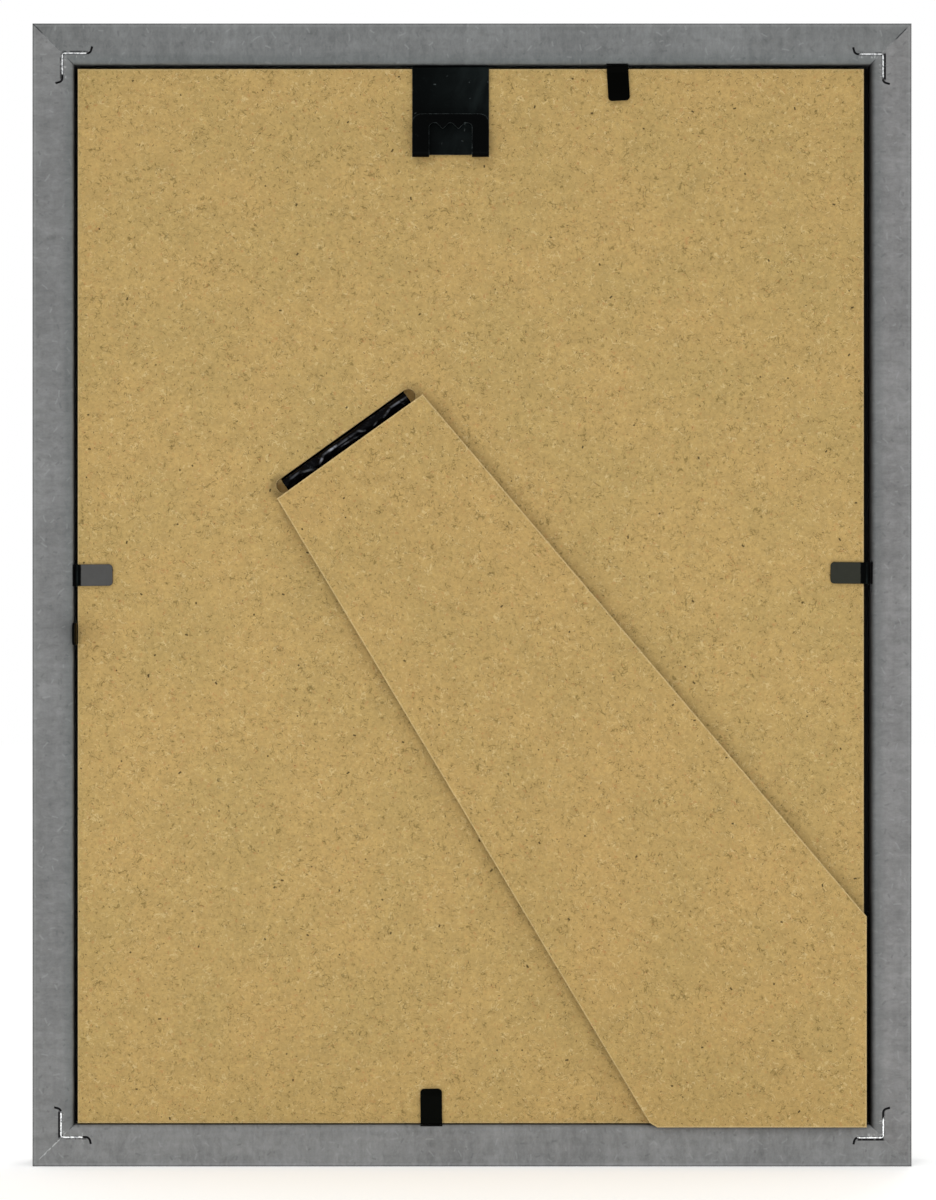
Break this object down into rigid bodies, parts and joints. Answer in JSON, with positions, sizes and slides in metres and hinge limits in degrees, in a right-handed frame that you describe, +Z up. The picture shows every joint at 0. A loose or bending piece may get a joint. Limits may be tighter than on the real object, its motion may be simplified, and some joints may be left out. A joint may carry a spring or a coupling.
{
  "type": "photo frame with easel back",
  "caption": "Upright mitred photo frame seen from the back: fibreboard back held by bendable tabs, sheet steel hanger and a diagonal folding easel leg.",
  "frame": {"origin": "middle of the bottom rail's underside, halfway through the rail's depth", "axes": "+Z up the frame's height, +Y out of the back, -Y the picture side, +X to the left as seen from the back"},
  "size_m": [0.2012, 0.0232, 0.2616],
  "materials": {
    "moulding_bottom": "matt grey coated fibreboard moulding",
    "moulding_top": "matt grey coated fibreboard moulding",
    "moulding_left": "matt grey coated fibreboard moulding",
    "moulding_right": "matt grey coated fibreboard moulding",
    "v_nail_steel": "bright zinc-plated strip",
    "glass": "clear picture glass with seamed edges",
    "insert_card": "plain off-white card",
    "backboard_fibre": "raw fibreboard with fine dark and light fibres",
    "leg_fibre": "raw fibreboard with fine dark and light fibres",
    "hanger_steel": "black lacquer, glossy with smudges",
    "hinge_strip": "black plastic-coated strip, glossy and creased",
    "tab_steel": "black oxide, satin",
    "tab_steel_top": "black oxide, satin",
    "tab_steel_bottom": "black oxide, satin",
    "tab_steel_left": "black oxide, satin",
    "tab_steel_right": "black oxide, satin",
    "tab_steel_spare": "black oxide, satin"
  },
  "bodies": {
    "frame": {"rail_bottom": "moulding_bottom", "rail_top": "moulding_top", "rail_left": "moulding_left", "rail_right": "moulding_right", "v_nail_top_left": "v_nail_steel", "v_nail_top_right": "v_nail_steel", "v_nail_bottom_left": "v_nail_steel", "v_nail_bottom_right": "v_nail_steel", "glass_pane": "glass", "picture_insert": "insert_card", "backboard": "backboard_fibre", "hanger_clip": "hanger_steel", "hinge_strip_anchor": "hinge_strip", "tab_shank_top": "tab_steel", "tab_shank_bottom": "tab_steel", "tab_shank_left": "tab_steel", "tab_shank_right": "tab_steel", "tab_shank_spare": "tab_steel"},
    "leg": {"easel_leg": "leg_fibre", "hinge_strip_leaf": "hinge_strip"},
    "tab_top": {"tab_tongue_top": "tab_steel_top"},
    "tab_bottom": {"tab_tongue_bottom": "tab_steel_bottom"},
    "tab_left": {"tab_tongue_left": "tab_steel_left"},
    "tab_right": {"tab_tongue_right": "tab_steel_right"},
    "tab_spare": {"tab_tongue_spare": "tab_steel_spare"}
  },
  "joints": [
    {"name": "leg_hinge", "type": "hinge", "parent": "frame", "child": "leg", "pos_m": [0.02891, 0.0066, 0.16611], "axis": [0.8131, 0, -0.5821], "range_deg": [0, 45]},
    {"name": "tab_top_bend", "type": "hinge", "parent": "frame", "child": "tab_top", "pos_m": [-0.0333, 0.00725, 0.25175], "axis": [0.9984, 0, -0.0558], "range_deg": [0, 90]},
    {"name": "tab_bottom_bend", "type": "hinge", "parent": "frame", "child": "tab_bottom", "pos_m": [0.0093, 0.00725, 0.00985], "axis": [-0.9999, 0, 0.0105], "range_deg": [0, 90]},
    {"name": "tab_left_bend", "type": "hinge", "parent": "frame", "child": "tab_left", "pos_m": [0.09075, 0.00725, 0.1353], "axis": [-0.0087, 0, -1], "range_deg": [0, 90]},
    {"name": "tab_right_bend", "type": "hinge", "parent": "frame", "child": "tab_right", "pos_m": [-0.09075, 0.00725, 0.1358], "axis": [-0.0105, 0, 0.9999], "range_deg": [0, 90]},
    {"name": "tab_spare_bend", "type": "hinge", "parent": "frame", "child": "tab_spare", "pos_m": [0.09075, 0.00725, 0.1219], "axis": [0, 0, -1], "range_deg": [-90, 0]}
  ]
}
